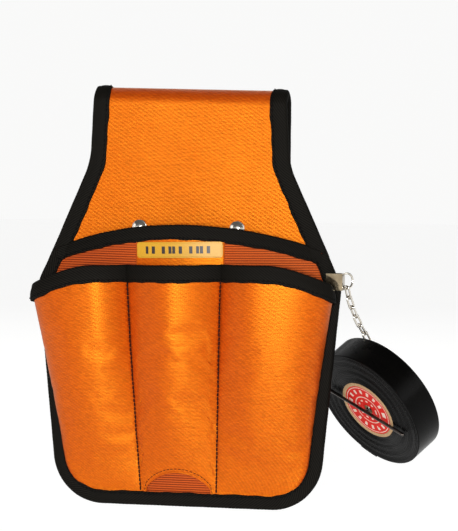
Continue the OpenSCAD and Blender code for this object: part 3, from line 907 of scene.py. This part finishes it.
def fold_tape(path, out, up, width, back, front, thick, thinner):
    """A folded tape along the edge of a cloth, with real twill ridges."""
    stack = along(np.concatenate([path, out, up, thinner[:, None]], 1), 0.5)
    path, out, up, thinner = stack[:, :3], unit(stack[:, 3:6]), unit(stack[:, 6:9]), stack[:, 9:]
    run = distances(path)
    outer, inside = tape_section(width, back, front, thick)
    girth = distances(outer)
    tangent = unit(np.gradient(outer, axis=0))
    lift = np.stack([tangent[:, 1], -tangent[:, 0]], 1)
    phase = (run[:, None] * TWILL_ALONG + girth[None] * TWILL_ROUND) / TWILL
    ridge = TWILL_RISE * (np.abs(np.sin(math.pi * phase)) ** 0.7 - 0.5)
    ridge[:, [0, -1]] *= 0.4
    swell = 1 + 0.05 * np.sin(run / 7.7) * np.sin(run / 3.1 + 1)
    a = outer[None, :, 0] + ridge * lift[None, :, 0]
    b = outer[None, :, 1] * swell[:, None] + ridge * lift[None, :, 1]
    a = np.concatenate([a, np.repeat(inside[None, :, 0], len(run), 0)], 1)
    b = np.concatenate([b, np.repeat(inside[None, :, 1], len(run), 0)], 1)
    a = a - thinner * np.clip((a - back) / (front - back), 0, 1)
    rings = path[:, None] + a[..., None] * out[:, None] + b[..., None] * up[:, None]
    girth = np.concatenate([girth, girth[-1] + np.arange(1, 5)])
    return tube_part(rings, as_points(run[:, None], girth[None]))


def round_rings(line, radius, side, off, turns):
    """Circles of points square to a line, one round each of its points."""
    circles = np.cos(turns)[None, :, None] * side[:, None] + np.sin(turns)[None, :, None] * off[:, None]
    return line[:, None] + np.reshape(radius, (-1, 1, 1)) * circles


def stitch_parts(path, out, pitch=3.0, length=2.2, radius=0.32, sunk=0.1):
    """Rounded stitches end to end along a line on the cloth, each dipping at its ends."""
    step = 0.25
    stack = along(np.concatenate([path, out], 1), step)
    run = np.arange(len(stack)) * step
    shares = np.linspace(-1, 1, 7)
    turns = np.linspace(0, 2 * math.pi, 6, endpoint=False)
    parts = []
    for k in range(int(run[-1] / pitch)):
        at = (k + 0.5) * pitch + shares * length / 2
        pick = np.stack([np.interp(at, run, stack[:, j]) for j in range(6)], 1)
        centre, off = pick[:, :3], unit(pick[:, 3:])
        side = unit(np.cross(unit(np.gradient(centre, axis=0)), off))
        thick = radius * np.sqrt(np.clip(1 - shares ** 6 * 0.85, 0, 1))
        centre = centre + off * (radius * 0.9 * (1 - shares ** 2) - sunk)[:, None]
        rings = round_rings(centre, thick, side, off, turns)
        parts.append(tube_part(rings, as_points(at[:, None], turns[None] * radius)))
    return parts


def thread_material(name, rough, shine, dark, pale):
    """Sewing thread, with the slant of its twist. Its colour runs from dark to pale across the twist's
    ridges: painted shade and painted highlight that follow its bump.
    """
    made = material(name, Roughness=rough, Specular_IOR_Level=shine)
    tree = made.node_tree
    _, x_mm, y_mm = cloth_place(tree)
    ply = twisted(tree, x_mm, y_mm, 11.0, 5.0)
    return finish_material(made, ramp(tree, ply, (0.0, dark), (1.0, pale)), None, ply, depth=0.00005)


black_tape = material("black_twill", Specular_IOR_Level=0.03)
tree = black_tape.node_tree
flat, x_mm, y_mm = cloth_place(tree)
slant = times(tree, y_mm, TWILL_ROUND / TWILL)
slant = scaled(tree, x_mm, TWILL_ALONG / TWILL, slant)
# The tape is paler on the twill ridges and darker between them: painted highlight and painted shade that
# follow the ridges of the geometry and the bump. The noise adds random tone.
crest = maths(tree, "ABSOLUTE", maths(tree, "SINE", times(tree, slant, math.pi)))
strand = maths(tree, "SINE", times(tree, maths(tree, "SUBTRACT", x_mm, y_mm), 9.0))
fuzz = noise(tree, flat, 2.5, 4.0)
tone = maths(tree, "ADD", crest, scaled(tree, fuzz, 0.6, -0.3))
colour = ramp(tree, tone, (0.1, (0.0004, 0.0004, 0.00035)), (1.0, (0.0080, 0.0070, 0.0055)))
finish_material(black_tape, colour, scaled(tree, fuzz, 0.3, 0.5),
                scaled(tree, strand, 0.35, crest), depth=0.00010, strength=0.7)
black_thread = thread_material("black_thread", 0.7, 0.05, (0.0008, 0.0008, 0.0007),
                               (0.004, 0.0037, 0.0033))


def bound(name, path, out, up, width, back, front, replaced, thick=TAPE_T, thinner=None):
    """A binding and the line of stitches along its inner edge, on its outer face."""
    thinner = np.zeros(len(path)) if thinner is None else thinner
    tape = fold_tape(path, out, up, width, back, front, thick, thinner)
    piece(name, [tape], black_tape, "pouch", replaced)
    on_face = path + out * (front + thick * 0.86 - thinner[:, None]) - up * (width - 1.5)
    piece(name + "_stitches", stitch_parts(on_face, out), black_thread, "pouch")


rim = front_face[-1]
rim_out = pocket_normals[-1]
rim_up = unit(fine[-1] - fine[-4])
rim_up = unit(rim_up - rim_out * np.sum(rim_up * rim_out, 1, keepdims=True))
keep = slice(3, -3)
bound("front_rim_binding", (rim + rim_up * 0.2)[keep], rim_out[keep], rim_up[keep], BIND_W + 0.2,
      -CANVAS_T, 0, ["front_pocket_binding"])

x = np.linspace(-81.0, 81.0, 200)
rim, rim_out = mid_face(x, mid_rim_z(x) - 1.2)
below, _ = mid_face(x, mid_rim_z(x) - 4)
rim_up = unit(rim - below)
bound("middle_rim_binding", rim, rim_out, rim_up, 8.0, -CANVAS_T, 0, ["middle_pocket_binding"])

CORNER_Z = BOTTOM_Z + MID_RIM - MID_DROOP + 4
FLANGE_Y = FRONT_Y - 2.3
FAR = 999
edge = right_line[::2]
edge_out = run_normals(edge)
low = edge[:, 1] < CORNER_Z
low_edge = np.concatenate([edge[low] * (-1, 1), edge[low][-2::-1]])
low_out = np.concatenate([edge_out[low] * (-1, 1), edge_out[low][-2::-1]])
path = as_points(low_edge[:, 0], 0.0, low_edge[:, 1])
up = as_points(low_out[:, 0], 0.0, low_out[:, 1])
out = np.tile((0.0, -1.0, 0.0), (len(path), 1))
thinner = 1.3 * ease((path[:, 2] - CORNER_Z + 16) / 8) + ease((path[:, 2] - CORNER_Z + 1.5) / 1.5)
bound("lower_edge_tape", path, out, up, LOW_BIND_W, -BACK_Y, -FLANGE_Y, ["lower_edge_binding"], 1.15, thinner)

line = loop_run(1.0)
normals = run_normals(line)
over = np.arange(len(line)) > int(np.argmin(np.abs(line[:, 1] - FOLD_Z) + (line[:, 0] > 0) * FAR))
start = int(np.argmin(np.abs(line[:, 1] - (CORNER_Z - 4)) + (line[:, 0] > FRONT_Y + 1) * FAR))
half = np.where(over, FLAP_HALF, half_at(np.minimum(line[:, 1], FOLD_Z)))
slope = np.where(over, 0.0, np.gradient(half))
out = as_points(0.0, normals[:, 0], normals[:, 1])
for side, word, gone in ((-1, "left", ["upper_left_edge_binding", "loop_edge_binding_left"]),
                         (1, "right", ["upper_right_edge_binding", "loop_edge_binding_right"])):
    path = settle(as_points(side * half, line[:, 0], line[:, 1]))
    up = unit(as_points(side, 0.0, -slope))
    bound(word + "_edge_tape", path[start:-6], out[start:-6], up[start:-6], BIND_W, -PANEL_T, 0, gone)

x = np.linspace(-FLAP_HALF, FLAP_HALF, 120)
path = settle(as_points(x, BACK_Y + PANEL_T, HEM_Z - HEM_H))
out = np.tile((0.0, 1.0, 0.0), (len(x), 1))
up = np.tile((0.0, 0.0, -1.0), (len(x), 1))
bound("hem_tape", path, out, up, BIND_W, -PANEL_T + 0.2, 0, ["loop_hem_binding"])

# ---- channel seams ----
# Dark red-brown thread sewn through both pocket cloths between the channels, with a dense bar of
# thread over the rim binding at the top of each seam and a fine line round the drain arch.
ARCH_ROW = 2
brown_thread = thread_material("brown_thread", 0.65, 0.08, (0.012, 0.003, 0.002), (0.045, 0.009, 0.004))
for word, col in (("left", left_col), ("right", right_col)):
    rows = slice(6, 2 * FRONT_ROWS - 5)
    off = pocket_normals[rows, 2 * col]
    proud = 0.15 + 1.2 * ease((np.arange(len(off)) - 40) / 60)
    on = front_face[rows, 2 * col] + off * proud[:, None]
    piece("channel_seam_" + word, stitch_parts(on, off, 2.6, 2.5, 0.5, 0.1), brown_thread, "pouch",
          ["channel_stitch_" + word])
tacks = []
for col in (left_col, right_col):
    top = front_face[-1, 2 * col]
    down = -unit(top - front_face[-8, 2 * col])
    off = unit(pocket_normals[-1, 2 * col])
    side = np.cross(off, down)
    for k in range(12):
        middle = top + down * (1.5 + k * 0.62) + off * 1.2
        ends = np.stack([middle - side * 0.9, middle + side * 0.9])
        tacks += stitch_parts(along(ends, count=8), np.tile(off, (8, 1)), 1.7, 1.7, 0.28, 0.0)
piece("rim_tacks", tacks, black_thread, "pouch", ["bar_tacks"])
arch_cols = slice(2 * (left_col + 1), 2 * (right_col - 1) + 1)
arch_line, off = front_face[ARCH_ROW, arch_cols], pocket_normals[ARCH_ROW, arch_cols]
piece("arch_stitches", stitch_parts(arch_line, off, 2.4, 1.9, 0.22, 0.05), brown_thread, "pouch")

off = pocket_normals[0, arch_cols]
hem_path = fine[0, arch_cols] + off * CANVAS_T / 2
side = unit(np.cross(unit(np.gradient(hem_path, axis=0)), off))
turns = np.linspace(0, 2 * math.pi, 10, endpoint=False)
rings = round_rings(hem_path, 0.72, side, off, turns)
hem_uv = as_points(np.arange(len(hem_path))[:, None], turns[None])
piece("arch_hem", [tube_part(rings, hem_uv)], orange_canvas, "pouch")

# ---- clip, ring and chain ----
# A worn plate crimped round the edge carries a ring, and a welded link chain hangs from it down
# behind the tape, through its core and out to the toggle bar.


def metal(name, dark, pale, rough):
    """Plated steel, a little hazy."""
    made = material(name, Metallic=1.0)
    tree = made.node_tree
    haze = noise(tree, object_place(tree), 180.0, 3.0)
    return finish_material(made, mottle(tree, haze, dark, pale),
                           scaled(tree, haze, 0.08, rough), haze, depth=0.000006, strength=0.3)


clip_metal = metal("worn_clip_metal", (0.24, 0.18, 0.11), (0.36, 0.29, 0.19), 0.06)
bar_metal = metal("dark_bar_metal", (0.06, 0.05, 0.045), (0.12, 0.105, 0.095), 0.24)
finishes = {"tape_clip": clip_metal, "toggle_bar": bar_metal}
links = ["chain_link_" + str(k) for k in range(1, 6)]
for name in ("tape_clip", "clip_ring", *links, "chain_behind_roll", "chain_through_core", "toggle_bar"):
    solid = refinish(name, finishes.get(name, nickel))
    solid.data.shade_smooth()
    soften_edges(solid, 40)

# ---- tape roll ----
# A roll of black vinyl tape wound on a card core: the sides show its layers as fine rings, and a
# printed card disc with plain rings and bars closes the front of the core.
SWING = math.radians(48.0)
LEAN = math.radians(32.6 - 90)
TAPE_W = 19.0
TAPE_R = 40.0
CORE_R = 20.0
TAIL_ROWS = 14
TAIL_COLS = 6
core_low, core_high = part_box("tape_core")
roll_mid = np.array((core_low + core_high) / 2) / MM
roll_axis = np.array((math.sin(LEAN) * math.cos(SWING), math.sin(LEAN) * math.sin(SWING), -math.cos(LEAN)))

vinyl = material("black_vinyl", Specular_IOR_Level=0.07)
tree = vinyl.node_tree
_, radius_mm, _ = cloth_place(tree)
layers = node(tree, "TexNoise", None, radius_mm, 5.5, 3.0, 0.6, noise_dimensions="1D")
haze = noise(tree, object_place(tree), 60.0, 4.0)
finish_material(vinyl, mottle(tree, layers, (0.0004, 0.0004, 0.0004), (0.0015, 0.0013, 0.0011)),
                scaled(tree, haze, 0.22, 0.16), layers, depth=0.00008, strength=0.6)
radii = np.linspace(CORE_R, TAPE_R - 0.4, 90)
wander = 0.10 * np.sin(radii * 9.1) * np.sin(radii * 2.3 + 1) + 0.07 * np.sin(radii * 23.0)
half = TAPE_W / 2
outer_wall = [(TAPE_R, half - 0.4), (TAPE_R, half * 0.5), (TAPE_R - 0.03, 0.0), (TAPE_R, -half * 0.5),
              (TAPE_R, -half + 0.4)]
profile = (list(zip(radii, half - 0.10 + wander)) + outer_wall
           + list(zip(radii[::-1], -half + 0.10 + wander[::-1])) + [(CORE_R, half - 0.10 + wander[0])])
winding = lathe_part(profile, roll_mid, roll_axis, 160)
side, other = square_to(roll_axis)
tail = []
for k, a in enumerate(np.radians(np.linspace(60, 78, TAIL_ROWS))):
    lift = TAPE_R + 0.14 + 0.35 * (k / (TAIL_ROWS - 1)) ** 3
    ring = math.cos(a) * side + math.sin(a) * other
    row = roll_mid + ring * lift
    tail.append([row + roll_axis * s * (half - 0.15) for s in np.linspace(-1, 1, TAIL_COLS)])
tail_uv = np.stack(np.meshgrid(np.linspace(-half, half, TAIL_COLS), np.linspace(0, 12, TAIL_ROWS)), -1)
tail_part = slab_part(np.array(tail), 0.13, tail_uv)
roll = piece("tape_roll", [winding, tail_part], vinyl, "tape_roll", ["tape_winding"])
soften_edges(roll, 40)

CARD_SIDES = 128
DISC_R = CORE_R - 2.45
DISC_HOLE = 3.4
card = material("card", Roughness=0.8)
tree = card.node_tree
fibre = noise(tree, object_place(tree), 900.0, 4.0)
finish_material(card, mottle(tree, fibre, (0.24, 0.14, 0.06), (0.36, 0.235, 0.12)), None, fibre,
                depth=0.00006)
core_profile = [(CORE_R - 0.1, half + 0.15), (CORE_R - 0.5, half + 0.3), (CORE_R - 1.2, half + 0.22),
                (CORE_R - 1.5, half + 0.26), (CORE_R - 2.2, half + 0.2), (CORE_R - 2.4, half),
                (CORE_R - 2.4, -half), (CORE_R - 2.2, -half - 0.2), (CORE_R - 0.4, -half - 0.2),
                (CORE_R - 0.1, -half), (CORE_R - 0.1, half + 0.15)]
core_tube = lathe_part(core_profile, roll_mid, roll_axis, CARD_SIDES)
soften_edges(piece("card_core", [core_tube], card, "tape_roll", ["tape_core"]), 45)

red_card = material("printed_card", Roughness=0.55, Specular_IOR_Level=0.12)
tree = red_card.node_tree
_, radius_mm, turn_mm = cloth_place(tree)


def band(value, low, high):
    above, below = maths(tree, "GREATER_THAN", value, low), maths(tree, "LESS_THAN", value, high)
    return times(tree, above, below)


def bars_in(low, high, count, wide):
    """Short printed bars in a ring, a plain pattern."""
    beat = maths(tree, "FRACT", times(tree, turn_mm, float(count)))
    return times(tree, band(radius_mm, low, high), maths(tree, "LESS_THAN", beat, wide))


white = maths(tree, "MAXIMUM", band(radius_mm, 16.2, 16.7), band(radius_mm, 9.3, 9.9))
white = maths(tree, "MAXIMUM", white, bars_in(12.0, 14.9, 8, 0.36))
white = maths(tree, "MAXIMUM", white, bars_in(6.2, 7.4, 5, 0.4))
unworn = maths(tree, "GREATER_THAN", noise(tree, object_place(tree), 700.0), 0.36)
red = mottle(tree, noise(tree, object_place(tree), 250.0), (0.38, 0.006, 0.003), (0.50, 0.010, 0.005))
inked = node(tree, "MixRGB", times(tree, white, unworn), red, (0.50, 0.40, 0.33, 1))
finish_material(red_card, inked)
disc_radii = np.linspace(DISC_R, DISC_HOLE, 30)
front_level = half - 0.05 - 0.25 * ((DISC_R - disc_radii) / 14) ** 2
disc_profile = list(zip(disc_radii, front_level)) + [(DISC_HOLE, half - 1.0), (DISC_R, half - 1.0),
                                                     (DISC_R, half - 0.05)]
disc_verts, disc_faces, disc_uv = lathe_part(disc_profile, roll_mid, roll_axis, CARD_SIDES)
turn_shares = np.tile(np.arange(CARD_SIDES) / CARD_SIDES, len(disc_profile))
disc_uv = as_points(disc_uv[:, 0], np.abs(turn_shares * 2 - 1))
disc = piece("printed_disc", [(disc_verts, disc_faces, disc_uv)], red_card, "tape_roll",
             ["core_label"])
soften_edges(disc, 45)
